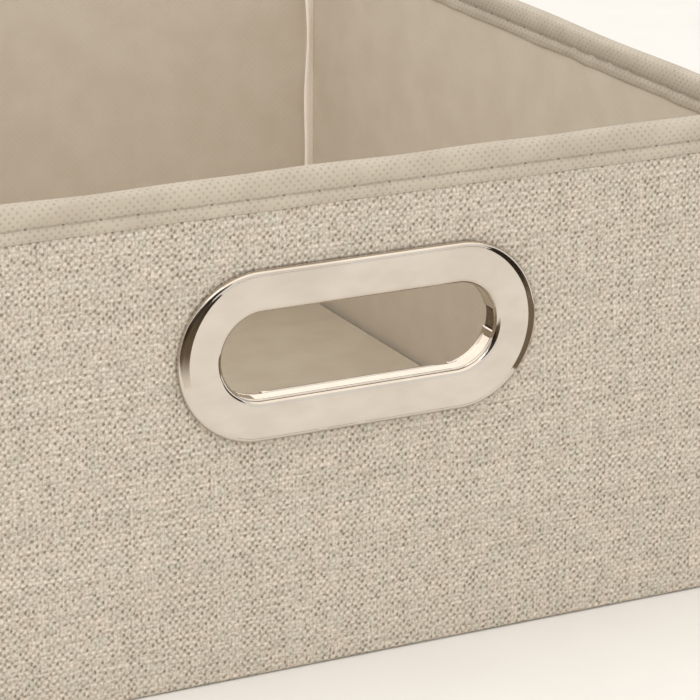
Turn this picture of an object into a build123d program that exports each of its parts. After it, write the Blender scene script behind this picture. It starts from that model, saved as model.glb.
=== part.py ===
from build123d import *
import os

# A box-shaped fabric storage bin. Each wall is a chipboard panel between a woven outer panel and a
# nonwoven lining, the corners are fabric only, the rim is bound with tape, and an oval metal handle
# goes through the front wall. A covered board lies loose on the bottom.
#
# Millimetres, +Z up. The front faces -Y. The origin is at the centre of the whole part's base.

# Body
body_width = 276.0  # outside of the fabric, left to right
body_depth = 304.0  # outside of the fabric, front to back
bin_height = 147.6  # base to the top of the rim
corner_radius = 6.7  # outside of the upright corners

# Wall layers, from the outside in
fabric_thick = 1.0
board_thick = 2.0
lining_thick = 0.7
base_thick = 1.0

# Corner seams: the seam allowances stand into the bin as a thin upright fin
fin_reach = 4.2
fin_thick = 1.6
fin_root = 0.5  # how far the fin runs into the corner

# Rim binding
binding_height = 10.3
binding_proud = 1.15  # how far the tape stands out of the wall, on each side
binding_over = 2.0  # tape and seam above the wall's top edge
binding_roll = 2.4  # radius of the rounded top edges

# Handle
handle_length = 110.6
handle_height = 48.3
handle_proud = 1.9  # the front plate's height above the fabric
handle_drop = 51.6  # handle's centre below the top of the rim
opening_length = 87.2
opening_height = 26.7
dome_radius = 1.5  # the front plate's rounded outer edge
lip_radius = 1.1  # the rounded edge where the face turns into the neck
sheet_metal = 0.8
hollow_rim = 2.1  # width of the front plate's solid edge, outside the hollow behind it
neck_gap = 0.25  # between the neck and what it passes through
neck_root = 0.4  # width of solid metal round the neck's outside, in front of the fabric
notch_height = 7.4
notch_lip = 0.3  # how far below the fabric's face the notches begin
slit_width = 1.2
slit_depth = 1.4  # how far the slits reach forward of the bent tabs
cut_clear = 5.0  # how far each notch and slit cuts past the metal that it goes through
tab_reach = 3.4
tab_thick = 0.6
back_plate_length = 103.0
back_plate_height = 41.3
back_plate_thick = 1.0

# Base insert
insert_thick = 4.4
insert_cover = 0.7
insert_gap_side = 2.0
insert_gap_front = 2.6  # clears the handle's tabs
insert_gap_below = 0.3
insert_corner = 14.0  # clears the corner seams
cover_turn_under = 25.0  # width of cover folded under the board

# Derived sizes
wall_thick = fabric_thick + board_thick + lining_thick
wall_top = bin_height - binding_over
front_y = handle_proud - (body_depth + handle_proud + binding_proud) / 2
back_y = front_y + body_depth
middle_y = (front_y + back_y) / 2
side_x = body_width / 2
handle_z = bin_height - handle_drop
neck_back = wall_thick + back_plate_thick
neck_length = opening_length + 2 * sheet_metal
neck_height = opening_height + 2 * sheet_metal
hole_length = neck_length + 2 * neck_gap
hole_height = neck_height + 2 * neck_gap

LAYERS = {
    "outer": (0.0, fabric_thick),
    "board": (fabric_thick, fabric_thick + board_thick),
    "lining": (fabric_thick + board_thick, wall_thick),
}


def block(x, y, z):
    """A box between the low and high values given for each axis."""
    size = Box(x[1] - x[0], y[1] - y[0], z[1] - z[0])
    return Pos(sum(x) / 2, sum(y) / 2, sum(z) / 2) * size


def footprint(inset, low, high, radius=corner_radius):
    """A block with the bin's rounded outline, moved in by inset, between two heights."""
    outline = RectangleRounded(body_width - 2 * inset, body_depth - 2 * inset, radius - inset)
    return Pos(0, middle_y, low) * extrude(outline, high - low)


def stadium(length, height, near, far):
    """A stadium-shaped block through the front wall, from near to far below the fabric's face."""
    plane = Plane(origin=(0, front_y + far, handle_z), x_dir=(1, 0, 0), z_dir=(0, -1, 0))
    return extrude(plane * SlotOverall(length, height), far - near)


def wall_layer(side, depths):
    """One flat layer of one wall, between two depths below the outside of the fabric."""
    near, far = depths
    across = side_x - corner_radius
    front_end = front_y + corner_radius
    back_end = back_y - corner_radius
    heights = (base_thick, wall_top)
    if side == "front":
        return block((-across, across), (front_y + near, front_y + far), heights)
    if side == "back":
        return block((-across, across), (back_y - far, back_y - near), heights)
    if side == "left":
        return block((-side_x + near, -side_x + far), (front_end, back_end), heights)
    return block((side_x - far, side_x - near), (front_end, back_end), heights)


def wall_panel(side, layer):
    """A wall layer, with the handle's hole in it if it is in the front wall."""
    panel = wall_layer(side, LAYERS[layer])
    if side == "front":
        panel -= stadium(hole_length, hole_height, -1.0, wall_thick + 1.0)
    return panel


def corner_seam(across, along):
    """The fabric-only corner between two walls, a quarter ring, with the bound seam as a fin inside."""
    ring = footprint(0, base_thick, wall_top) - footprint(wall_thick, base_thick, wall_top)
    x_edge = across * side_x
    y_edge = back_y if along > 0 else front_y
    x_span = sorted((x_edge, x_edge - across * corner_radius))
    y_span = sorted((y_edge, y_edge - along * corner_radius))
    corner = ring & block(x_span, y_span, (base_thick, wall_top))
    x_centre = x_edge - across * corner_radius
    y_centre = y_edge - along * corner_radius
    inner_radius = corner_radius - wall_thick
    fin_top = bin_height - binding_height
    reach = (inner_radius - fin_reach, inner_radius + fin_root)
    fin = block(reach, (-fin_thick / 2, fin_thick / 2), (base_thick, fin_top))
    turn = {(1, 1): 45, (-1, 1): 135, (-1, -1): 225, (1, -1): 315}[across, along]
    return corner + Pos(x_centre, y_centre, 0) * Rot(0, 0, turn) * fin


def rim_binding():
    """The tape folded over the rim: a ring with a slot below for the wall."""
    low = bin_height - binding_height
    ring = footprint(-binding_proud, low, bin_height)
    ring -= footprint(wall_thick + binding_proud, low, bin_height)
    top_edges = ring.edges().group_by(Axis.Z)[-1]
    ring = fillet(top_edges, binding_roll)
    slot = footprint(0, low, wall_top) - footprint(wall_thick, low, wall_top)
    return ring - slot


def handle_cuts():
    """The gaps between the neck's tabs: a notch at each end and a slit at each end of the straights."""
    behind = front_y + neck_back + cut_clear
    depth = (front_y + notch_lip, behind)
    half_straight = (opening_length - opening_height) / 2
    end_x = handle_length / 2
    height = (handle_z - notch_height / 2, handle_z + notch_height / 2)
    cuts = block((half_straight + cut_clear, end_x), depth, height)
    cuts += block((-end_x, -half_straight - cut_clear), depth, height)
    slit = (front_y + neck_back - slit_depth, behind)
    for x in (-half_straight, half_straight):
        span = (x - slit_width / 2, x + slit_width / 2)
        cuts += block(span, slit, (handle_z - handle_height / 2, handle_z - cut_clear))
        cuts += block(span, slit, (handle_z + cut_clear, handle_z + handle_height / 2))
    return cuts


def handle_front_plate():
    """The stamped front plate, with its neck through the wall and the tabs bent over behind."""
    flange = stadium(handle_length, handle_height, -handle_proud, 0)
    flange = fillet(flange.faces().sort_by(Axis.Y)[0].edges(), dome_radius)
    flange -= stadium(opening_length, opening_height, -handle_proud - 1.0, 1.0)
    front_face = flange.faces().sort_by(Axis.Y)[0]
    flange = fillet(front_face.inner_wires()[0].edges(), lip_radius)
    hollow_top = sheet_metal - handle_proud
    hollow = stadium(handle_length - 2 * hollow_rim, handle_height - 2 * hollow_rim, hollow_top, 1.0)
    hollow -= stadium(neck_length + neck_root, neck_height + neck_root, -handle_proud, 2.0)
    flange -= hollow
    tab_end = neck_back + tab_thick
    neck = stadium(neck_length, neck_height, hollow_top, tab_end)
    tabs = stadium(neck_length + 2 * tab_reach, neck_height + 2 * tab_reach, neck_back, tab_end)
    neck = neck + tabs - stadium(opening_length, opening_height, -handle_proud - 1.0, tab_end + 1.0)
    return flange + (neck - handle_cuts())


def handle_back_plate():
    """The flat ring inside the wall that the tabs hold."""
    ring = stadium(back_plate_length, back_plate_height, wall_thick, neck_back)
    return ring - stadium(neck_length + neck_gap, neck_height + neck_gap, 0, neck_back + 1.0)


def insert_block(inset, low, high):
    """A block with the base insert's outline, moved in by inset, between two heights."""
    near_y = front_y + wall_thick + insert_gap_front + inset
    far_y = back_y - wall_thick - insert_gap_side - inset
    width = 2 * (side_x - wall_thick - insert_gap_side - inset)
    outline = RectangleRounded(width, far_y - near_y, insert_corner - inset)
    return Pos(0, (near_y + far_y) / 2, low) * extrude(outline, high - low)


def base_board():
    """The stiff board inside the base insert."""
    low = base_thick + insert_gap_below
    return insert_block(insert_cover, low + insert_cover, low + insert_thick - insert_cover)


def base_cover():
    """The insert's nonwoven cover: all over the top and turned under at the edges."""
    low = base_thick + insert_gap_below
    cover = insert_block(0, low, low + insert_thick)
    cover -= base_board()
    near_y = front_y + wall_thick + insert_gap_front + cover_turn_under
    far_y = back_y - wall_thick - insert_gap_side - cover_turn_under
    half_width = side_x - wall_thick - insert_gap_side - cover_turn_under
    window = block((-half_width, half_width), (near_y, far_y), (low - 1.0, low + insert_cover))
    return cover - window


parts = {
    "outer_base_panel": footprint(0, 0, base_thick),
    "rim_binding": rim_binding(),
    "handle_front_plate": handle_front_plate(),
    "handle_back_plate": handle_back_plate(),
    "base_board": base_board(),
    "base_cover": base_cover(),
}
for wall in ("front", "back", "left", "right"):
    parts[f"outer_{wall}_panel"] = wall_panel(wall, "outer")
    parts[f"{wall}_board"] = wall_panel(wall, "board")
    parts[f"lining_{wall}"] = wall_panel(wall, "lining")
for along_name, along_sign in (("front", -1), ("back", 1)):
    for across_name, across_sign in (("left", -1), ("right", 1)):
        parts[f"corner_seam_{along_name}_{across_name}"] = corner_seam(across_sign, along_sign)

os.makedirs("parts", exist_ok=True)
for name, shape in parts.items():
    export_step(shape, f"parts/{name}.step")
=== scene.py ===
import math

import bpy
import numpy as np
from mathutils import Matrix, Vector, noise
from mathutils.geometry import delaunay_2d_cdt


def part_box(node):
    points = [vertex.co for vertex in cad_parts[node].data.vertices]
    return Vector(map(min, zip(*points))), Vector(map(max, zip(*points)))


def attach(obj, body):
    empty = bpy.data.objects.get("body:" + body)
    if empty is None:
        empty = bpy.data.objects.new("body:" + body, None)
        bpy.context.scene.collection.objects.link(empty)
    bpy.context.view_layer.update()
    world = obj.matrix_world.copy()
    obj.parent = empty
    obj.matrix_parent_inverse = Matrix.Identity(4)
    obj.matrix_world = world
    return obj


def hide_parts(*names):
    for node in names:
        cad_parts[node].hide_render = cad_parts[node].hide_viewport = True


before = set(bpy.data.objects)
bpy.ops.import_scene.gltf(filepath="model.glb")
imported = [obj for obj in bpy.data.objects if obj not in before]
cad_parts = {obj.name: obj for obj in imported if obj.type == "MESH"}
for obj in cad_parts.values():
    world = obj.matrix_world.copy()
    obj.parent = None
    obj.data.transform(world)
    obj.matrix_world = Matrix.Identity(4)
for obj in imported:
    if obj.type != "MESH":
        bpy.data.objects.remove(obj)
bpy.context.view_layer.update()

# A fabric storage bin. Metres, +Z up, the front faces -Y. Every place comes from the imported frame.
MM = 0.001

# ---- Places read from the frame ----
side_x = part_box("outer_right_panel")[1].x
front_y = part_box("outer_front_panel")[0].y
back_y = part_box("outer_back_panel")[1].y
middle_y = (front_y + back_y) / 2
half_depth = (back_y - front_y) / 2
corner_r = side_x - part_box("outer_front_panel")[1].x
wall_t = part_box("lining_front")[1].y - front_y
base_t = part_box("outer_base_panel")[1].z
wall_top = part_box("outer_front_panel")[1].z
rim_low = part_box("rim_binding")[0].z
rim_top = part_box("rim_binding")[1].z
plate_low, plate_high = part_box("handle_front_plate")
ring_low, ring_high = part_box("handle_back_plate")
insert_low, insert_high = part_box("base_cover")
handle_z = (plate_low.z + plate_high.z) / 2

# ---- Sizes of the sheets ----
cloth_t = 0.55 * MM
lining_t = 0.4 * MM  # also the rim tape's
tuck_under = 3.4 * MM  # how much outer cloth turns under at the bottom
cloth_low = 1.6 * MM  # lowest even row of the outer cloth, above its turn, and foot of the corner seams
lining_low = 1.4 * MM
seam_fold = 0.8 * MM  # radius of the outer cloth's roll into a corner seam
edge_gap = 0.6 * MM  # between the upper edge of a wall's sheets and the top of the wall
grid_step = 2.4 * MM
rng = np.random.default_rng(7)


# ---- Mesh helpers ----
def make_piece(name, points, faces, uvs=None, smooth=True):
    """A mesh object from points and faces, with an optional flat layout in metres, one pair per point."""
    mesh = bpy.data.meshes.new(name)
    mesh.from_pydata([tuple(p) for p in points], [], [tuple(int(i) for i in f) for f in faces])
    if uvs is not None:
        layer = mesh.uv_layers.new(name="cloth")
        corners = np.zeros(len(mesh.loops), np.int32)
        mesh.loops.foreach_get("vertex_index", corners)
        layer.data.foreach_set("uv", np.asarray(uvs, np.float32)[corners].ravel())
    mesh.polygons.foreach_set("use_smooth", [smooth] * len(mesh.polygons))
    mesh.update()
    piece = bpy.data.objects.new(name, mesh)
    bpy.context.scene.collection.objects.link(piece)
    return piece


def grid_faces(rows, columns, close_rows=False, close_columns=False, keep=None):
    """Quads over a rows by columns grid of points. keep(row, column) says which quads stay."""
    faces = []
    for r in range(rows if close_rows else rows - 1):
        for c in range(columns if close_columns else columns - 1):
            if keep is None or keep(r, c):
                r2 = (r + 1) % rows
                c2 = (c + 1) % columns
                faces.append((r * columns + c, r2 * columns + c, r2 * columns + c2, r * columns + c2))
    return faces


def thicken(piece, thickness, offset=-1.0):
    """Gives a sheet its thickness, behind its face when offset is -1."""
    solid = piece.modifiers.new("thickness", "SOLIDIFY")
    solid.thickness = thickness
    solid.offset = offset
    solid.use_even_offset = True
    return piece


def coat(thing, material):
    """Gives an object its only material."""
    thing.data.materials.clear()
    thing.data.materials.append(material)


def finish_piece(piece, body, slot, material, *nodes):
    """Puts a piece on its body, in place of CAD nodes, with its material."""
    coat(piece, material)
    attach(piece, body)
    if nodes:
        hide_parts(*nodes)


def smooth_step(x):
    x = min(max(x, 0.0), 1.0)
    return x * x * (3 - 2 * x)


def spline(controls, count):
    """count points along a Catmull-Rom curve through the control points."""
    pts = np.asarray(controls, float)
    pts = np.vstack([2 * pts[0] - pts[1], pts, 2 * pts[-1] - pts[-2]])
    spans = len(pts) - 3
    at = np.linspace(0, spans, count)
    k = np.minimum(at.astype(int), spans - 1)
    t = (at - k)[:, None]
    p0, p1, p2, p3 = (pts[k + i] for i in range(4))
    return 0.5 * (2 * p1 + (p2 - p0) * t + (2 * p0 - 5 * p1 + 4 * p2 - p3) * t**2
                  + (3 * p1 - p0 - 3 * p2 + p3) * t**3)


def wander(at, wavelength, waves=7):
    """Smooth random numbers from about -1 to 1 along a line, with bends of about a wavelength."""
    total = np.zeros_like(at)
    for _ in range(waves):
        length = wavelength * rng.uniform(0.6, 1.8)
        total += np.sin(2 * math.pi * at / length + rng.uniform(0, 2 * math.pi))
    return total / math.sqrt(waves)


# ---- The bin's walls as unrolled sheets ----
WALLS = {
    "front": (Vector((0, front_y, 0)), Vector((1, 0, 0)), Vector((0, -1, 0)), side_x - corner_r),
    "right": (Vector((side_x, middle_y, 0)), Vector((0, 1, 0)), Vector((1, 0, 0)), half_depth - corner_r),
    "back": (Vector((0, back_y, 0)), Vector((-1, 0, 0)), Vector((0, 1, 0)), side_x - corner_r),
    "left": (Vector((-side_x, middle_y, 0)), Vector((0, -1, 0)), Vector((-1, 0, 0)), half_depth - corner_r),
}
half_corner = corner_r * math.pi / 4


def hash_of(wall):
    """A fixed number for each wall, to keep their patterns apart."""
    return 0.37 * (1 + list(WALLS).index(wall))


def wall_point(wall, s, out, z):
    """The point s along a wall from its middle, standing out from the fabric's face, at a height."""
    centre, along, normal, half = WALLS[wall]
    if abs(s) <= half:
        p = centre + along * s + normal * out
    else:
        sign = math.copysign(1, s)
        angle = (abs(s) - half) / corner_r
        pivot = centre + along * (sign * half) - normal * corner_r
        p = pivot + (along * (sign * math.sin(angle)) + normal * math.cos(angle)) * (corner_r + out)
    return Vector((p.x, p.y, z))


def stadium_gap(x, z, half_straight, radius):
    """How far a point is outside a stadium centred on the handle. Negative is inside."""
    dx = max(abs(x) - half_straight, 0.0)
    return math.hypot(dx, z - handle_z) - radius


# Handle sizes. The hole is the neck's inside, and the ring round it is a little wider at its ends.
outer_radius = (plate_high.z - plate_low.z) / 2
outer_straight = plate_high.x - outer_radius
hole_radius = 13.35 * MM
hole_straight = 30.25 * MM
neck_gap = 0.25 * MM  # between the neck and the hole in the cloth
ring_width = outer_radius - hole_radius
sheet_metal = 0.8 * MM


def fold_in(distance, radius):
    """How far a sheet has turned in, at a distance from the seam that it rolls into."""
    if distance >= radius:
        return 0.0
    across = radius - max(distance, 0.0)
    return radius - math.sqrt(max(radius**2 - across**2, 0.0))


def relief(p, size, height):
    """Slow unevenness of a sheet, as a height."""
    return height * noise.noise(p / size)


def outer_place(wall, s, t):
    """Where a point of a wall's outer cloth is.

    t is the height, and goes below zero where the cloth turns under.
    """
    half = WALLS[wall][3]
    turn = 1.1 * MM
    under_tape, under_plate = 0.25 * MM, 0.30 * MM  # how far the rim tape and the handle press it in
    floor_gap = 0.15 * MM
    start = floor_gap + turn
    quarter = turn * math.pi / 2
    if t >= start:
        out, z = 0.0, t
    elif t >= start - quarter:
        angle = (start - t) / turn
        out, z = turn * (math.cos(angle) - 1), start - turn * math.sin(angle)
    else:
        out, z = -turn - (start - quarter - t), floor_gap
    out -= fold_in(half + half_corner - abs(s), seam_fold)
    flat = Vector((s, t, hash_of(wall)))
    if t > start:
        out += relief(flat, 26 * MM, 0.10 * MM) + relief(flat, 7 * MM, 0.03 * MM)
        out -= under_tape * smooth_step((t - (rim_low - 2 * MM)) / (2.5 * MM))
    if wall == "front":
        gap = stadium_gap(s, t, outer_straight, outer_radius)
        out -= under_plate * (1 - smooth_step((gap + 0.5 * MM) / (3.5 * MM)))
    return wall_point(wall, s, out, z)


def lining_place(wall, s, t):
    """Where a point of a wall's lining is, seen from inside the bin."""
    flat = Vector((s, t, 2.1 + hash_of(wall)))
    out = -wall_t - 0.05 * MM
    out -= relief(flat, 42 * MM, 0.22 * MM) + relief(flat, 11 * MM, 0.05 * MM)
    return wall_point(wall, s, out, t)


def wall_outline(wall, low, high):
    """The unrolled sheet's lines: places along the wall and heights, closer together at the corners."""
    half = WALLS[wall][3]
    straight = np.linspace(-half, half, int(2 * half / grid_step))
    curve = np.linspace(half, half + half_corner, 15)[1:]
    heights = np.linspace(low, high, int((high - low) / grid_step))
    return np.concatenate([-curve[::-1], straight, curve]), heights


def wall_sheet(name, wall, place, low, heights_below=()):
    """A wall's sheet as a grid, or as triangles round the handle's hole in the front wall."""
    columns, heights = wall_outline(wall, low, wall_top - edge_gap)
    heights = np.concatenate([np.asarray(heights_below), heights])
    flat = [(s, t) for t in heights for s in columns]
    faces = grid_faces(len(heights), len(columns))
    if wall == "front":
        flat, faces = cut_hole(flat)
    if place is outer_place:
        faces = [tuple(reversed(f)) for f in faces]
    points = [place(wall, s, t) for s, t in flat]
    uvs = [(s + hash_of(wall), t) for s, t in flat]
    return make_piece(name, points, faces, uvs)


def stadium_loop(straight, radius, arc_count, straight_count):
    """Points round a stadium about its centre, from its lower right, anticlockwise.

    Each is (x, z, outward x, outward z).
    """
    rows = []
    for side in (1, -1):
        for k in range(arc_count):
            a = math.pi * (k / arc_count - side / 2)
            x, z = math.cos(a), math.sin(a)
            rows.append((side * straight + radius * x, radius * z, x, z))
        for k in range(straight_count):
            x = side * straight * (1 - 2 * k / straight_count)
            rows.append((x, side * radius, 0.0, float(side)))
    return rows


WHOLE_HULL, INSIDE_ONLY = 0, 1


def triangulate(outline, inner, kind):
    """Triangles over an outline's points and the inner ones. kind is Blender's number for the result.

    Gives the points, the triangles and the points' origins.
    """
    scale = 1000.0  # the triangulation works in millimetres
    vertices = [Vector((x * scale, y * scale)) for x, y in outline + inner]
    loop = [(i, (i + 1) % len(outline)) for i in range(len(outline))]
    found, _, triangles, origins, _, _ = delaunay_2d_cdt(vertices, loop, [], kind, 1e-5)
    return [(v.x / scale, v.y / scale) for v in found], triangles, origins


def cut_hole(flat):
    """The sheet's points and triangles with the handle's hole left out."""
    straight, radius = hole_straight, hole_radius + sheet_metal + neck_gap
    ring = [(x, z + handle_z) for x, z, _, _ in stadium_loop(straight, radius, 40, 24)]
    clear = 1.6 * MM
    grid = [p for p in flat if stadium_gap(p[0], p[1], straight, radius) > clear]
    flat, triangles, _ = triangulate(ring, grid, WHOLE_HULL)
    kept = []
    for triangle in triangles:
        x = sum(flat[i][0] for i in triangle) / 3
        z = sum(flat[i][1] for i in triangle) / 3
        if stadium_gap(x, z, straight, radius) > 0:
            kept.append(triangle)
    return flat, [tuple(reversed(t)) if turns_left(flat, t) else tuple(t) for t in kept]


def turns_left(flat, triangle):
    (ax, ay), (bx, by), (cx, cy) = (flat[i] for i in triangle)
    return (bx - ax) * (cy - ay) - (by - ay) * (cx - ax) > 0


# ---- Shader helpers ----
class Value:
    """A number in a material's nodes, so that node maths reads as plain arithmetic."""

    def __init__(self, paint, socket):
        self.paint = paint
        self.socket = socket

    def __add__(self, other):
        return self.paint.maths("ADD", self, other)

    def __sub__(self, other):
        return self.paint.maths("SUBTRACT", self, other)

    def __rsub__(self, other):
        return self.paint.maths("SUBTRACT", other, self)

    def __mul__(self, other):
        return self.paint.maths("MULTIPLY", self, other)

    def __truediv__(self, other):
        return self.paint.maths("DIVIDE", self, other)


class Paint:
    """A material being made, with its principled shader."""

    def __init__(self, name, roughness=0.9, specular=0.3, metallic=0.0, sheen=0.0):
        self.material = bpy.data.materials.new(name)
        self.material.use_nodes = True
        self.tree = self.material.node_tree
        self.tree.nodes.clear()
        self.shader = self.tree.nodes.new("ShaderNodeBsdfPrincipled")
        output = self.tree.nodes.new("ShaderNodeOutputMaterial")
        self.tree.links.new(self.shader.outputs[0], output.inputs[0])
        self.shader.inputs["Roughness"].default_value = roughness
        self.shader.inputs["Specular IOR Level"].default_value = specular
        self.shader.inputs["Metallic"].default_value = metallic
        self.shader.inputs["Sheen Weight"].default_value = sheen

    def feed(self, socket, value):
        """Sets a socket from a Value or a plain number or colour."""
        if isinstance(value, Value):
            self.tree.links.new(value.socket, socket)
        else:
            socket.default_value = value

    def maths(self, operation, *values):
        node = self.tree.nodes.new("ShaderNodeMath")
        node.operation = operation
        for socket, value in zip(node.inputs, values):
            self.feed(socket, value)
        return Value(self, node.outputs[0])

    def clamp01(self, value):
        node = self.maths("ADD", value, 0.0)
        node.socket.node.use_clamp = True
        return node

    def step(self, value, low, high):
        """A smooth step from 0 at low to 1 at high."""
        node = self.tree.nodes.new("ShaderNodeMapRange")
        node.interpolation_type = "SMOOTHSTEP"
        for key, number in (("Value", value), ("From Min", low), ("From Max", high)):
            self.feed(node.inputs[key], number)
        return Value(self, node.outputs[0])

    def cloth(self):
        """The sheet's own flat layout, as its two coordinates in metres."""
        node = self.tree.nodes.new("ShaderNodeUVMap")
        node.uv_map = "cloth"
        return self.split(node.outputs[0])

    def place(self):
        """The point in the row frame, as its three coordinates in metres."""
        node = self.tree.nodes.new("ShaderNodeTexCoord")
        return self.split(node.outputs["Object"])

    def split(self, socket):
        node = self.tree.nodes.new("ShaderNodeSeparateXYZ")
        self.tree.links.new(socket, node.inputs[0])
        return [Value(self, out) for out in node.outputs]

    def join(self, x, y, z=0.0):
        node = self.tree.nodes.new("ShaderNodeCombineXYZ")
        for socket, value in zip(node.inputs, (x, y, z)):
            self.feed(socket, value)
        return Value(self, node.outputs[0])

    def noise(self, x, y, z=0.0, detail=2.0, rough=0.5):
        """Smooth noise from 0 to 1, with about one bump for each unit."""
        node = self.tree.nodes.new("ShaderNodeTexNoise")
        self.feed(node.inputs["Vector"], self.join(x, y, z))
        node.inputs["Scale"].default_value = 1.0
        node.inputs["Detail"].default_value = detail
        node.inputs["Roughness"].default_value = rough
        return Value(self, node.outputs[0])

    def random(self, number, seed):
        """A fixed random number from 0 to 1 for each whole number."""
        node = self.tree.nodes.new("ShaderNodeTexWhiteNoise")
        node.noise_dimensions = "2D"
        self.feed(node.inputs["Vector"], self.join(number, seed))
        return Value(self, node.outputs[0])

    def spots(self, x, y, stray):
        """A lattice of spots that stray a little: the way to the nearest, and its own random number."""
        node = self.tree.nodes.new("ShaderNodeTexVoronoi")
        node.voronoi_dimensions = "2D"
        node.inputs["Scale"].default_value = 1.0
        node.inputs["Randomness"].default_value = stray
        x, y = x + stray / 2, y + stray / 2
        self.feed(node.inputs["Vector"], self.join(x, y))
        spot_x, spot_y, _ = self.split(node.outputs["Position"])
        return x - spot_x, y - spot_y, self.split(node.outputs["Color"])[0]

    def blend(self, factor, first, second):
        """A colour between two others."""
        node = self.tree.nodes.new("ShaderNodeMix")
        node.data_type = "RGBA"
        node.clamp_factor = True
        self.feed(node.inputs[0], factor)
        self.feed(node.inputs[6], first)
        self.feed(node.inputs[7], second)
        return Value(self, node.outputs[2])

    def shade(self, colour, factor):
        """A colour made lighter or darker by a factor."""
        node = self.tree.nodes.new("ShaderNodeVectorMath")
        node.operation = "SCALE"
        self.feed(node.inputs[0], colour)
        self.feed(node.inputs["Scale"], factor)
        return Value(self, node.outputs[0])

    def bump(self, height, depth, strength=1.0):
        """Relief from a height of 0 to 1 that stands for a depth in metres."""
        node = self.tree.nodes.new("ShaderNodeBump")
        node.inputs["Strength"].default_value = strength
        node.inputs["Distance"].default_value = depth
        self.feed(node.inputs["Height"], height)
        self.feed(self.shader.inputs["Normal"], Value(self, node.outputs[0]))

    def colour(self, value):
        self.feed(self.shader.inputs["Base Color"], value)

    def roughness(self, value):
        self.feed(self.shader.inputs["Roughness"], value)


def srgb(red, green, blue):
    """A colour from display values of 0 to 255, as linear light."""
    def linear(v):
        v /= 255
        return v / 12.92 if v <= 0.04045 else ((v + 0.055) / 1.055) ** 2.4
    return linear(red), linear(green), linear(blue), 1.0


# ---- Materials ----
warp_pitch = 1.098 * MM
weft_pitch = 1.188 * MM
warp_lean = 0.026  # how far the warp strays from upright, for each unit of height
rows_per_mm = 0.544  # the faint darker rows across the cloth
dot_pitch = 1.68 * MM
stitch_pitch = 10.8 * MM
twist_pitch = 0.9 * MM


def woven_cloth():
    """Loose weave of uneven pale yarn. Every second crossing is drawn in to a small pit whose darkness is
    painted shade, and the thread crowns are painted lighter than the hollows, also as shade.
    """
    paint = Paint("woven_cloth", roughness=0.92, specular=0.2, sheen=0.05)
    along, up, _ = paint.cloth()
    u = along / warp_pitch + up * (warp_lean / warp_pitch)
    u += (paint.noise(along * 55, up * 40, 1.0) - 0.5) * 1.2
    v = up / weft_pitch + (paint.noise(along * 40, up * 55, 5.0) - 0.5) * 1.2
    i = paint.maths("ROUND", u)
    j = paint.maths("ROUND", v)
    slub_warp = paint.noise(i * 7.31, v * 0.16, 2.0, detail=3.0, rough=0.6)
    slub_weft = paint.noise(j * 7.31, u * 0.16, 9.0, detail=3.0, rough=0.6)

    def thread(across, slub, wave, depth):
        """The height of a thread: round across its width, and over and under along its length."""
        ratio = across / (slub * 0.34 + 0.29)
        return paint.maths("SQRT", paint.clamp01(1.0 - ratio * ratio)) * 0.55 + wave * depth

    high_warp = thread(u - i, slub_warp, paint.maths("COSINE", (v + i) * math.pi), 0.30)
    high_weft = thread(v - j, slub_weft, paint.maths("COSINE", (u + j) * math.pi), -0.30)
    top = paint.maths("MAXIMUM", high_warp, high_weft)
    is_warp = paint.step(high_warp - high_weft, -0.04, 0.04)
    tone_warp = paint.random(i, 3.0) * 0.3 + slub_warp * 1.3
    tone_weft = paint.random(j, 8.0) * 0.3 + slub_weft * 1.3
    yarn = tone_weft + (tone_warp - tone_weft) * is_warp - 0.8
    # Painted shade: the pit at every second crossing darkens the colour as well as sinking the bump.
    across, down, strength = paint.spots((u + v) * 0.5, (u - v) * 0.5, 0.36)
    away = paint.maths("SQRT", across * across * 0.86 + down * down * 1.1)
    pit = (1.0 - paint.step(away, 0.05, 0.48)) * (strength * 0.66 + 0.34)
    # Painted shade: thick yarn is lighter along its crown and darker between threads.
    ridges = paint.maths("COSINE", u * (2 * math.pi)) * paint.step(slub_warp, 0.5, 0.7)
    ridges += paint.maths("COSINE", v * (2 * math.pi)) * paint.step(slub_weft, 0.5, 0.7)
    phase = paint.noise(along * 50, up * 120, 11.0) * 16.0
    rows = paint.maths("SINE", up * (2 * math.pi * rows_per_mm / MM) + phase)
    fibres = paint.noise(along * 1600, up * 1600, 0.0, detail=2.0)
    # Painted shade: the pits darken the colour and the thread tops lighten it. The yarn, rows and fibres
    # are the cloth's own tone.
    tone = 1.02 - pit * 0.68 + (top - 0.45) * 0.32 + yarn * 0.42
    tone += rows * 0.06 + ridges * 0.06 + (fibres - 0.5) * 0.9
    patches = paint.noise(along * 150, up * 150, 20.0, detail=3.0, rough=0.6)
    light = paint.blend(paint.step(patches, 0.35, 0.65), srgb(232, 219, 204), srgb(223, 216, 201))
    paint.colour(paint.blend(tone - 0.45, srgb(130, 119, 103), light))
    paint.bump(top - pit * 0.6 + fibres * 0.2, 0.40 * MM, 0.7)
    return paint.material


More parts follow.
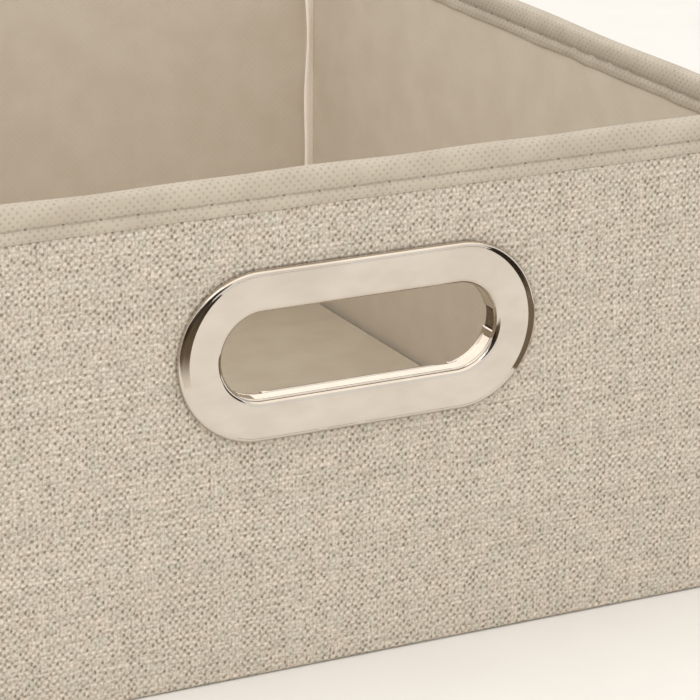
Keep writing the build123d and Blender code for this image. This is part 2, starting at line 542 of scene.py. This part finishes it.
def nonwoven(name, dark, light, dot_depth, relief_depth=0.10 * MM, hair=0.12, seams=()):
    """Spunbonded cloth with a diagonal lattice of pressed dots and matted fibres.

    seams are the places across the sheet where a line of stitches pulls it in and pierces it. The needle
    holes and the crease along each line are painted darker, as shade.
    """
    paint = Paint(name, roughness=0.88, specular=0.25, sheen=0.05)
    along, up, _ = paint.cloth()
    stray = paint.noise(along * 300, up * 300, 3.0) - 0.5
    slant = math.sqrt(0.5) / dot_pitch
    a = (along + up) * slant + stray * 0.30
    b = (along - up) * slant + stray * 0.30
    near_a = a - paint.maths("ROUND", a)
    near_b = b - paint.maths("ROUND", b)
    away = paint.maths("SQRT", near_a * near_a + near_b * near_b)
    dot = 1.0 - paint.step(away, 0.13, 0.34)
    strength = paint.step(paint.noise(along * 260, up * 260, 11.0), 0.25, 0.55)
    dot = dot * strength
    patches = paint.noise(along * 70, up * 70, 4.0, detail=4.0)
    hairs = paint.noise(along * 2600, up * 5200, 0.0, detail=3.0)
    base = paint.blend(paint.step(patches, 0.3, 0.7), dark, light)
    light = (1.0 - dot * dot_depth) * (hairs * hair + 1.0 - hair / 2)
    for seam in seams:
        turns = along / stitch_pitch
        from_hole = (turns - paint.maths("ROUND", turns)) * stitch_pitch
        from_line = up - seam
        apart = paint.maths("SQRT", from_hole * from_hole * 0.4 + from_line * from_line)
        # Painted shade: the needle holes and the crease along the stitch line darken the colour.
        hole = 1.0 - paint.step(apart, 0.10 * MM, 0.48 * MM)
        crease = 1.0 - paint.step(paint.maths("ABSOLUTE", from_line), 0.0, 0.6 * MM)
        light = light * (1.0 - hole * 0.62) * (1.0 - crease * 0.05)
    paint.colour(paint.shade(base, light))
    paint.bump(hairs * 0.25 - dot, relief_depth, 0.7)
    return paint.material


def thread_material():
    """Twisted sewing thread. The grooves between its plies are painted darker, as shade."""
    paint = Paint("thread", roughness=0.6, specular=0.4)
    along, round_it, _ = paint.cloth()
    ply = paint.maths("SINE", along * (2 * math.pi / twist_pitch) + round_it * (2 * math.pi))
    fibres = paint.noise(along * 6000, round_it * 8, 0.0)
    base = paint.blend(fibres, srgb(166, 155, 139), srgb(190, 180, 165))
    # Painted shade: the colour darkens along the twist's grooves, with the bump.
    paint.colour(paint.shade(base, ply * 0.10 + 0.92))
    paint.bump(ply * 0.5 + 0.5, 0.05 * MM)
    return paint.material


def chipboard(name, dark, light):
    """Paperboard with flecks of fibre."""
    paint = Paint(name, roughness=0.9, specular=0.2)
    x, y, z = paint.place()
    flecks = paint.noise(x * 900, y * 900, z * 900, detail=4.0, rough=0.7)
    clouds = paint.noise(x * 60, y * 60, z * 60)
    base = paint.blend(paint.step(flecks, 0.35, 0.65), dark, light)
    paint.colour(paint.shade(base, clouds * 0.16 + 0.92))
    paint.bump(flecks, 0.08 * MM, 0.6)
    return paint.material


def nickel():
    """Polished nickel plate with faint smears and hairline scratches. The groove between the neck and the
    lip is painted dark brown, as shade.
    """
    paint = Paint("polished_nickel", roughness=0.1, metallic=1.0, specular=0.5)
    x, y, z = paint.place()
    smears = paint.noise(x * 45, y * 45, z * 90, detail=3.0, rough=0.6)
    scratch = paint.noise(x * 260 + z * 80, y * 260, z * 2600, detail=2.0)
    scratched = paint.step(scratch, 0.72, 0.78)
    _, groove, _ = paint.cloth()
    plate = paint.blend(paint.step(smears, 0.3, 0.7), srgb(207, 197, 186), srgb(217, 209, 199))
    # Painted shade: the groove rows take a dark brown colour.
    paint.colour(paint.blend(groove, plate, srgb(112, 100, 84)))
    paint.roughness(smears * 0.07 + scratched * 0.05 + groove * 0.4 + 0.02)
    paint.bump(smears * 0.7 + scratched * 0.05, 0.05 * MM, 0.15)
    return paint.material


def floor_material():
    """Plain pale matte floor."""
    paint = Paint("pale_floor", roughness=0.7, specular=0.2)
    x, y, _ = paint.place()
    grain = paint.noise(x * 30, y * 30, 0.0, detail=3.0)
    paint.colour(paint.blend(grain, srgb(230, 227, 222), srgb(236, 233, 228)))
    return paint.material


cloth_material = woven_cloth()
smooth_look = (0.03, 0.03 * MM, 0.07)  # faint dots, low relief and few hairs
lining_material = nonwoven("lining", srgb(201, 189, 172), srgb(206, 195, 179), *smooth_look)
insert_material = nonwoven("insert_cloth", srgb(181, 169, 150), srgb(187, 176, 158), *smooth_look)
# The seam tape is pale, and its colour is raised almost to white as painted light for the light that the
# seam catches.
seam_painted_light_material = nonwoven("seam_tape", srgb(250, 242, 230), srgb(252, 246, 236), 0.02)
base_material = nonwoven("base_cloth", srgb(176, 164, 144), srgb(186, 175, 156), 0.22)
stitch_material = thread_material()
board_material = chipboard("chipboard", srgb(150, 138, 118), srgb(186, 174, 152))
# A darker copy of the chipboard for the cut edge in the notches. Its darkness is painted shade.
shaded_edge_material = chipboard("shaded_cut_edge", srgb(84, 70, 54), srgb(112, 96, 76))
metal_material = nickel()


# ---- Walls: outer cloth and lining ----
turned_under = np.linspace(-tuck_under, 1.1 * MM, 14)
for wall in WALLS:
    wide = 2 * (WALLS[wall][3] + half_corner)
    outer = wall_sheet(f"outer_cloth_{wall}", wall, outer_place, cloth_low, turned_under)
    thicken(outer, cloth_t)
    finish_piece(outer, "shell", "woven_fabric", cloth_material, f"outer_{wall}_panel")
    inner = wall_sheet(f"lining_cloth_{wall}", wall, lining_place, lining_low)
    thicken(inner, lining_t)
    wide_inside = wide - 2 * math.pi / 4 * wall_t
    finish_piece(inner, "shell", "lining", lining_material, f"lining_{wall}")
    coat(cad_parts[f"{wall}_board"], board_material)


# ---- Corner seams: bound seam allowances that stand into the bin ----
fin_half = 0.8 * MM
fin_long = 4.6 * MM


def corner_seam(name, wall, lean, offset):
    """The bound seam at a wall's far end.

    lean bends it towards that wall, and offset sets its root off the corner's diagonal.
    """
    heights = np.linspace(cloth_low, rim_low + 3 * MM, 70)
    sway = wander(heights, 60 * MM)
    centre, along, normal, half = WALLS[wall]
    pivot = centre + along * half - normal * corner_r
    inward = -(along + normal).normalized()
    sideways = (normal - along).normalized()
    root = -(corner_r - wall_t) - 0.1 * MM
    points, uvs = [], []
    section = [(0.0, 1.5), (0.5, 1.0), (1.5, 0.75), (2.8, 0.75), (3.8, 0.7), (4.4, 0.45), (4.6, 0.0)]
    section += [(u, -w) for u, w in reversed(section[:-1])]
    for height, bend in zip(heights, sway):
        for k, (u, w) in enumerate(section):
            reach = u * MM / fin_long
            shift = offset + (lean + 0.12 * bend) * reach**1.5 * fin_long
            place = pivot + inward * (root + u * MM * (1 - 0.25 * abs(lean)))
            place += sideways * (w * fin_half + shift)
            points.append((place.x, place.y, height))
            uvs.append((k * 0.9 * MM, height))
    return make_piece(name, points, grid_faces(len(heights), len(section)), uvs)


corner_after = {"front": "front_right", "right": "back_right", "back": "back_left", "left": "front_left"}
for wall, corner in corner_after.items():
    lean, offset = (-0.2, 1.2 * MM) if corner == "back_right" else (0.3, 0.0)
    seam = corner_seam(f"seam_tape_{corner}", wall, lean, offset)
    finish_piece(seam, "shell", "binding_tape", seam_painted_light_material, f"corner_seam_{corner}")


# ---- Rim binding and its stitching ----
stitch_drop = 6.7 * MM  # the stitch line below the top of the rim
tape_drop = 0.15 * MM  # the tape's highest line below the top of the rim, to leave room for its waves
stitch_radius = 0.16 * MM
corner_steps = 18
RIM_WALLS = ("back", "left", "front", "right")  # in the order that the rim's length runs
rim_corner = corner_r * math.pi / 2
rim_sides = [2 * (side_x - corner_r), 2 * (half_depth - corner_r)] * 2
rim_length = sum(rim_sides) + 4 * rim_corner


def rim_frame(s):
    """The point on the fabric's face s along the rim from the back wall's middle, and the way out."""
    s = (s + WALLS["back"][3]) % rim_length
    for wall in RIM_WALLS:
        centre, along, normal, half = WALLS[wall]
        if s <= 2 * half:
            return centre + along * (s - half), normal
        s -= 2 * half
        if s <= rim_corner:
            angle = s / corner_r
            pivot = centre + along * half - normal * corner_r
            out = along * math.sin(angle) + normal * math.cos(angle)
            return pivot + out * corner_r, out
        s -= rim_corner
    return rim_frame(0.0)


def rim_stations():
    """Places along the rim, close together at the corners."""
    stations = []
    s = -WALLS["back"][3]
    for wall in RIM_WALLS:
        length = 2 * WALLS[wall][3]
        count = int(length / (1.5 * MM))
        stations += [s + length * k / count for k in range(count)]
        s += length
        stations += [s + rim_corner * k / corner_steps for k in range(corner_steps)]
        s += rim_corner
    return np.array(stations)


def bell(distance, width):
    """A smooth weight that is 1 at no distance and falls away over a width."""
    return np.exp(-((distance / width) ** 2))


def rim_binding():
    """The tape folded over the rim: full along the top and drawn in at the stitches.

    Also gives its flat width, and the places across it of its two stitch lines.
    """
    full_drop, flap_drop = 3.4 * MM, 9.8 * MM  # below its top: where it is fullest, and its free edge
    # (out from the fabric, up from the tape's top) in millimetres, from the outer edge to the middle
    half = [(-0.10, -10.25), (0.42, -10.35), (0.62, -9.6), (0.78, -8.5), (0.62, -7.5), (0.30, -6.85),
            (0.30, -6.45), (0.72, -5.7), (1.02, -4.4), (1.08, -3.0), (0.78, -1.5), (0.05, -0.42),
            (-1.85, 0.0)]
    other = [(-wall_t / MM - d, z) for d, z in reversed(half[:-1])]
    profile = spline(half + other, 58) * MM
    stations = rim_stations()
    nearest = np.abs((stations / stitch_pitch) - np.round(stations / stitch_pitch)) * stitch_pitch
    dimple = bell(nearest, 1.3 * MM)
    below = -profile[:, 1]
    side = np.where(np.arange(len(profile)) < len(profile) / 2, 1.0, -1.0)
    at_stitch = bell(below - stitch_drop, 0.8 * MM)
    at_face = bell(below - full_drop, 1.6 * MM)
    at_flap = bell(below - flap_drop, 1.0 * MM)
    at_top = bell(below, 1.2 * MM)
    puff = 0.10 * wander(stations, 34 * MM) - 0.10 * dimple
    rise = 0.18 * wander(stations, 60 * MM)
    flap = 0.10 * wander(stations, 22 * MM) + 0.06
    edge = 0.16 * wander(stations, 28 * MM)
    arc = np.concatenate([[0], np.cumsum(np.linalg.norm(np.diff(profile, axis=0), axis=1))])
    points, uvs = [], []
    for k, s in enumerate(stations):
        place, out = rim_frame(s)
        swell = at_stitch * -0.22 * dimple[k] + at_face * puff[k] + at_flap * flap[k]
        d = profile[:, 0] + side * MM * swell
        z = rim_top - tape_drop + profile[:, 1] + MM * (at_top * rise[k] + at_flap * edge[k])
        for i in range(len(profile)):
            points.append((place.x + out.x * d[i], place.y + out.y * d[i], z[i]))
            uvs.append((s, arc[i]))
    piece = make_piece("rim_tape", points, grid_faces(len(stations), len(profile), close_rows=True), uvs)
    flank = 20  # rows up each side of the tape
    seams = [np.interp(stitch_drop, below[flank::-1], arc[flank::-1]),
             np.interp(stitch_drop, below[-flank:], arc[-flank:])]
    return thicken(piece, lining_t), arc[-1], seams


def tube_faces(rings, sides, first):
    """Quads along a tube of rings, numbered from its first point, with both ends closed."""
    faces = [tuple(first + i for i in f) for f in grid_faces(rings, sides, close_columns=True)]
    faces.append(tuple(first + i for i in range(sides)))
    faces.append(tuple(first + (rings - 1) * sides + i for i in reversed(range(sides))))
    return faces


def rim_stitches():
    """The stitches along both faces of the binding, each from one needle hole to the next."""
    points, faces, uvs = [], [], []
    rings, sides = 11, 7
    proud, sink, stray = 0.34 * MM, 0.75 * MM, 0.05 * MM
    start = 0.03  # from the middle of a needle hole to the thread, as a share of the pitch
    count = int(rim_length / stitch_pitch)
    for inside in (False, True):
        for k in range(count):
            first = len(points)
            for ring in range(rings):
                share = ring / (rings - 1)
                s = (k + start + (1 - 2 * start) * share) * stitch_pitch
                place, out = rim_frame(s)
                d = proud - sink * (abs(2 * share - 1) ** 6)
                if inside:
                    d = -wall_t - d
                centre = place + out * d
                z = rim_top - stitch_drop - tape_drop + stray * math.sin(9 * k + 3 * share)
                for side in range(sides):
                    a = 2 * math.pi * side / sides
                    spot = centre + out * (stitch_radius * math.cos(a))
                    points.append((spot.x, spot.y, z + stitch_radius * math.sin(a)))
                    uvs.append((s, side / sides))
            faces += tube_faces(rings, sides, first)
    return make_piece("rim_stitching", points, faces, uvs)


tape, tape_width, tape_seams = rim_binding()
tape_material = nonwoven("binding_tape", srgb(180, 169, 153), srgb(188, 178, 162), 0.22,
                         relief_depth=0.07 * MM, hair=0.22, seams=tape_seams)
finish_piece(tape, "shell", "binding_tape", tape_material, "rim_binding")
finish_piece(rim_stitches(), "shell", "binding_tape", stitch_material)


# ---- Handle ----
arc_steps = 72
straight_steps = 26
slope_from = 0.35  # where the sloping edge starts to widen towards the plate's ends
lip_radius = 1.25 * MM
groove_rows = (20, 21)  # the points of the section that lie in the groove between the neck and the lip
notch_half = 3.7 * MM


def swept_ring(name, profile, keep=None, grooves=()):
    """A ring round the handle's opening. profile(end) gives its (distance out from the opening's edge, y).

    end is 1 at the far points of the two rounded ends and 0 along the straights.
    """
    points, uvs = [], []
    across_rows = [row[2] for row in stadium_loop(0.0, 1.0, arc_steps, straight_steps)]
    rows = [profile(max(abs(across) - slope_from, 0.0) / (1 - slope_from)) for across in across_rows]
    for k, row in enumerate(rows):
        for i, (d, y) in enumerate(row):
            straight = hole_straight + (outer_straight - hole_straight) * min(d / ring_width, 1.0)
            x, z, _, _ = stadium_loop(straight, hole_radius + d, arc_steps, straight_steps)[k]
            points.append((x, y, handle_z + z))
            uvs.append((k * MM, 1.0 if i in grooves else 0.0))
    return make_piece(name, points, grid_faces(len(rows), len(rows[0]), close_rows=True, keep=keep), uvs)


def front_plate_profile(end):
    """The plate's section, from the bent tabs through the neck, lip and face to the sloping edge.

    The edge slopes over a wider band at the plate's ends than along its straights.
    """
    face = plate_low.y
    tab_back = plate_high.y + 0.4 * MM
    tabs = [(4.0, 0.0), (3.0, 0.0), (1.8, 0.0), (0.9, -0.02), (0.5, -0.10), (0.2, -0.28), (0.03, -0.6)]
    section = [(d * MM, tab_back + y * MM) for d, y in tabs]
    neck_front = face + lip_radius
    bead = tab_back - 1.75 * MM
    section += [(d * MM, bead + y * MM)
                for d, y in ((0.0, 0.5), (0.0, 0.3), (-0.10, 0.12), (-0.10, -0.08), (0.0, -0.22))]
    section += [(0.0, y) for y in np.linspace(bead - 0.45 * MM, neck_front + 0.50 * MM, 7)]
    section += [(d * MM, neck_front + y * MM) for d, y in ((0.0, 0.40), (0.16, 0.36), (0.16, 0.12))]
    section += [(lip_radius * (1 - math.cos(a)), face + lip_radius * (1 - math.sin(a)))
                for a in (0.0, 0.06, *np.linspace(0.17, math.pi / 2, 10))]
    slope_wide = (0.30 + 1.15 * end) * MM
    slope_drop = (0.10 + 0.38 * end) * MM
    edge = 0.75 * MM
    crease = ring_width - slope_wide - edge
    section += [(d, face) for d in np.linspace(lip_radius + 0.3 * MM, crease - 0.10 * MM, 14)]
    section += [(crease + slope_wide * t, face + slope_drop * t)
                for t in (0.03, 0.16, 0.3, 0.45, 0.6, 0.75, 0.9)]
    section += [(crease + slope_wide + edge * math.sin(a), face + slope_drop + edge * (1 - math.cos(a)))
                for a in np.linspace(0.25, 1.5, 7)]
    section.append((ring_width, -0.12 * MM + front_y))
    return section


def front_plate():
    """The pressed front plate as one sheet, with two notches in its neck and four slits in its tabs."""
    section = front_plate_profile(0.0)
    behind = front_y - 0.35 * MM
    slit_from = plate_high.y - 1.5 * MM
    turn = arc_steps + straight_steps

    def keep(k, i):
        y = min(section[i][1], section[i + 1][1])
        at = k % turn
        if at < arc_steps and y > behind:
            angle = abs((at + 0.5) / arc_steps - 0.5) * math.pi
            if angle < math.asin(notch_half / hole_radius):
                return False
        near_slit = at in (arc_steps - 1, arc_steps, turn - 1, 0)
        return not (near_slit and y > slit_from)

    piece = swept_ring("front_plate", front_plate_profile, keep, groove_rows)
    return thicken(piece, sheet_metal - 0.15 * MM)


def back_ring():
    """The flat ring behind the wall, with softened edges."""
    inner = 0.95 * MM
    outer = (ring_high.z - ring_low.z) / 2 - hole_radius
    y0, y1 = ring_low.y, ring_high.y
    soft = 0.25 * MM
    section = [(inner, y0), (outer - soft, y0), (outer, y0 + soft), (outer, y1 - soft),
               (outer - 0.3 * soft, y1 - 0.3 * soft), (outer - soft, y1),
               (inner + soft, y1), (inner, y1 - soft)]
    section.append(section[0])
    return swept_ring("back_ring", lambda end: section)


def notch_edges():
    """The wall's cut edge at each end of the hole, where it fills the neck's notches. Its dark colour is
    painted shade.
    """
    points, faces, uvs = [], [], []
    near, far = front_y - 0.45 * MM, plate_high.y + 0.5 * MM
    soft = 0.5 * MM
    depths = [(near, 0.0), (near + 0.3 * MM, 0.0), (far - 1.6 * MM, 0.0), (far - soft, 0.0),
              (far - 0.15 * MM, 0.2 * MM), (far, soft)]
    levels = np.linspace(-3.75, 3.75, 13) * MM
    for sign in (-1, 1):
        first = len(points)
        for level in levels:
            corner = max(abs(level) - 2.9 * MM, 0.0)
            for y, inset in depths:
                reach = math.sqrt(hole_radius**2 - level**2) + 0.04 * MM + inset + corner**2 / (1.4 * MM)
                points.append((sign * (hole_straight + reach), y, handle_z + level))
                uvs.append((level, y))
        strip = grid_faces(len(levels), len(depths))
        strip = [tuple(reversed(f)) for f in strip] if sign < 0 else strip
        faces += [tuple(first + i for i in f) for f in strip]
    return thicken(make_piece("notch_edges", points, faces, uvs), 0.6 * MM)


finish_piece(front_plate(), "shell", "handle_metal", metal_material, "handle_front_plate")
finish_piece(back_ring(), "shell", "handle_metal", metal_material, "handle_back_plate")
finish_piece(notch_edges(), "shell", "chipboard", shaded_edge_material)


# ---- Bottom panel and base insert ----
insert_corner = 14 * MM
least_radius = 0.3 * MM
side_step = 5 * MM
top_step = 6 * MM


def rounded_outline(low, high, radius, inset, count=14):
    """Points round a rectangle with rounded corners, anticlockwise seen from above."""
    x0, y0, x1, y1 = low[0] + inset, low[1] + inset, high[0] - inset, high[1] - inset
    r = max(radius - inset, least_radius)
    outline = []
    wide, deep = high[0] - low[0], high[1] - low[1]
    for cx, cy, start, length in ((x1 - r, y0 + r, -90, deep), (x1 - r, y1 - r, 0, wide),
                                  (x0 + r, y1 - r, 90, deep), (x0 + r, y0 + r, 180, wide)):
        for k in range(count + 1):
            a = math.radians(start + 90 * k / count)
            outline.append((cx + r * math.cos(a), cy + r * math.sin(a)))
        steps = round(length / side_step)
        end = math.radians(start + 90)
        along = (-math.sin(end), math.cos(end))
        span = (y1 - y0 if abs(along[1]) > 0.5 else x1 - x0) - 2 * r
        last = outline[-1]
        outline += [(last[0] + along[0] * span * k / steps, last[1] + along[1] * span * k / steps)
                    for k in range(1, steps)]
    return outline


def lidded_slab(name, low, high, radius, section, raise_by):
    """A slab's skin: rings of (inset, height) from below, then a filled top that raise_by lifts."""
    outline_rows = [rounded_outline(low, high, radius, inset) for inset, _ in section]
    count = len(outline_rows[0])
    points = [(x, y, z) for row, (_, z) in zip(outline_rows, section) for x, y in row]
    faces = grid_faces(len(section), count, close_columns=True)
    faces = [tuple(reversed(f)) for f in faces]
    rim = outline_rows[-1]
    first = (len(section) - 1) * count
    top_z = section[-1][1]
    inner = []
    inset = section[-1][0]
    for x in np.arange(low[0] + inset + top_step, high[0] - inset - top_step / 2, top_step):
        for y in np.arange(low[1] + inset + top_step, high[1] - inset - top_step / 2, top_step):
            if inside_rounded(x, y, low, high, radius, inset + 0.5 * top_step):
                inner.append((x, y))
    _, triangles, origins = triangulate(rim, inner, INSIDE_ONLY)
    index = {}
    for k, names in enumerate(origins):
        if names[0] < count:
            index[k] = first + names[0]
        else:
            index[k] = len(points)
            x, y = inner[names[0] - count]
            points.append((x, y, top_z + raise_by(x, y)))
    faces += [tuple(index[i] for i in t) for t in triangles]
    return make_piece(name, points, faces, [(p[0] + p[2], p[1]) for p in points])


def inside_rounded(x, y, low, high, radius, inset):
    r = max(radius - inset, least_radius)
    dx = max(low[0] + inset + r - x, x - (high[0] - inset - r), 0.0)
    dy = max(low[1] + inset + r - y, y - (high[1] - inset - r), 0.0)
    return math.hypot(dx, dy) < r


def edge_arc(inset, low_z, high_z, radius, steps=6):
    """The rounded side of a slab, from its underside to its top, as (inset, height)."""
    rows = []
    for k in range(steps + 1):
        a = math.pi / 2 * k / steps
        rows.append((inset + radius * (1 - math.sin(a)), low_z + radius * (1 - math.cos(a))))
    for k in range(steps + 1):
        a = math.pi / 2 * k / steps
        rows.append((inset + radius * (1 - math.cos(a)), high_z - radius * (1 - math.sin(a))))
    return rows


def insert_cover():
    """The base insert's cloth, stretched over its board and turned under."""
    low, high = insert_low.z, insert_high.z
    section = [(inset * MM, low + up * MM) for inset, up in ((25, 0.25), (18, 0.12), (9, 0.08), (3, 0.05))]
    section += edge_arc(0.15 * MM, low, high - 0.1 * MM, 1.5 * MM)
    section += [(3.0 * MM, high - 0.06 * MM), (5.0 * MM, high - 0.03 * MM)]

    def lift(x, y):
        return 0.16 * MM * noise.noise(Vector((x, y, 4.0)) / (38 * MM))

    return lidded_slab("insert_cloth", insert_low, insert_high, insert_corner, section, lift)


def bottom_panel():
    """The bin's bottom cloth, seamed to the walls all round."""
    box_low, box_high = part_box("outer_base_panel")
    inset = 1.7 * MM
    section = [(inset + 0.6 * MM, base_t), (inset + 0.1 * MM, base_t - 0.15 * MM),
               (inset, base_t - 0.4 * MM), (inset + 0.1 * MM, 0.2 * MM),
               (inset + 0.5 * MM, 0.05 * MM), (inset + 1.2 * MM, 0.0)]
    piece = lidded_slab("bottom_cloth", box_low, box_high, corner_r, section, lambda x, y: 0.0)
    piece.data.flip_normals()
    return piece


cover = insert_cover()
finish_piece(cover, "base_insert", "lining", insert_material, "base_cover")
coat(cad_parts["base_board"], board_material)
bottom = bottom_panel()
finish_piece(bottom, "shell", "lining", base_material, "outer_base_panel")


# ---- Floor, light and camera ----
def stage_card(name, corners, material):
    """A flat card that isn't part of the object."""
    card = make_piece(name, corners, [tuple(range(len(corners)))], smooth=False)
    card.data.materials.append(material)
    return card


def upright(x0, y0, x1, y1, low, high):
    """The corners of an upright card between two places on the floor."""
    return [(x0, y0, low), (x1, y1, low), (x1, y1, high), (x0, y0, high)]


def level(x0, y0, x1, y1, z):
    """The corners of a flat card at a height."""
    return [(x0, y0, z), (x1, y0, z), (x1, y1, z), (x0, y1, z)]


def area_light(name, place, target, size, power):
    """A soft rectangular light that shines at a target."""
    data = bpy.data.lights.new(name, "AREA")
    data.shape = "RECTANGLE"
    data.size, data.size_y = size
    data.energy = power
    data.color = warm_white
    light = bpy.data.objects.new(name, data)
    light.location = place
    light.rotation_euler = (Vector(target) - Vector(place)).to_track_quat("-Z", "Y").to_euler()
    bpy.context.scene.collection.objects.link(light)


floor_reach, floor_z = 3.0, -0.1 * MM
stage_card("floor", level(-floor_reach, -floor_reach, floor_reach, floor_reach, floor_z), floor_material())

warm_white = (1.0, 0.985, 0.965)
area_light("overhead", (-0.3, -0.1, 1.5), (0, 0, 0.05), (1.6, 1.6), 7.5)
area_light("left", (-1.1, -1.6, 1.1), (0, 0, 0.08), (1.2, 1.0), 10.5)


def reflection_card(name, corners, axis, bands, glow=0.0):
    """A card outside the camera's view that only shows in reflections, above all in the metal.

    bands are its colours at places along one axis.
    """
    paint = Paint(name, roughness=0.9, specular=0.1)
    place = paint.place()[axis]
    shown = bands[0][1]
    for (start, _), (end, colour) in zip(bands, bands[1:]):
        shown = paint.blend(paint.step(place, start, end), shown, colour)
    paint.colour(shown)
    paint.feed(paint.shader.inputs["Emission Color"], shown)
    paint.shader.inputs["Emission Strength"].default_value = glow
    card = stage_card(name, corners, paint.material)
    card.visible_camera = False
    card.visible_diffuse = False
    card.visible_shadow = False
    card.visible_transmission = False


Y_AXIS, Z_AXIS = 1, 2
white, dim, black = srgb(255, 252, 246), srgb(112, 99, 82), srgb(44, 38, 32)
reflection_card("right_card", upright(0.45, -0.62, 0.45, -0.36, 0.0, 0.30), Z_AXIS,
                [(0.0, dim), (0.08, black)])
reflection_card("left_card", upright(-0.45, -0.16, -0.03, -0.36, 0.0, 0.28), Z_AXIS,
                [(0.0, white), (0.06, dim), (0.16, black)])
floor_corners = [(0.16, -0.30, 0.002), (0.45, -0.50, 0.002), (0.45, 0.10, 0.002), (0.16, 0.10, 0.002)]
reflection_card("floor_card", floor_corners, Y_AXIS, [(-0.50, white), (-0.44, dim)])
reflection_card("back_card", upright(-1.0, 1.2, 1.8, 1.2, 0.2, 1.4), Z_AXIS, [(0.2, white)], glow=0.35)
reflection_card("top_card", level(-0.4, -1.3, 1.4, 0.2, 1.3), Y_AXIS, [(-1.3, white)], glow=0.45)

world = bpy.data.worlds.new("studio")
world.use_nodes = True
background = world.node_tree.nodes["Background"]
background.inputs["Color"].default_value = (1.0, 0.985, 0.96, 1.0)
background.inputs["Strength"].default_value = 1.0
bpy.context.scene.world = world
bpy.context.scene.view_settings.view_transform = "Standard"

# The camera looks at the handle from the left and above.
azimuth = math.radians(27.256)
elevation = math.radians(18.578)
roll = math.radians(0.463)
distance = 0.976
aim = (-2.50 * MM, -2.89 * MM)  # where the lens points, right of and above the handle's centre
flat_share = math.cos(elevation)
forward = Vector((math.sin(azimuth) * flat_share, math.cos(azimuth) * flat_share, -math.sin(elevation)))
level_right = Vector((math.cos(azimuth), -math.sin(azimuth), 0))
level_up = level_right.cross(forward)
right = level_right * math.cos(roll) + level_up * math.sin(roll)
up = level_up * math.cos(roll) - level_right * math.sin(roll)
target = Vector((0, front_y, handle_z)) + right * aim[0] + up * aim[1]
camera_data = bpy.data.cameras.new("camera")
camera_data.sensor_width = 36.0
camera_data.lens = 180.0
camera_data.clip_start = 0.01
camera = bpy.data.objects.new("camera", camera_data)
spot = target - forward * distance
camera.matrix_world = Matrix((
    (right.x, up.x, -forward.x, spot.x),
    (right.y, up.y, -forward.y, spot.y),
    (right.z, up.z, -forward.z, spot.z),
    (0, 0, 0, 1)))
bpy.context.scene.collection.objects.link(camera)
bpy.context.scene.camera = camera
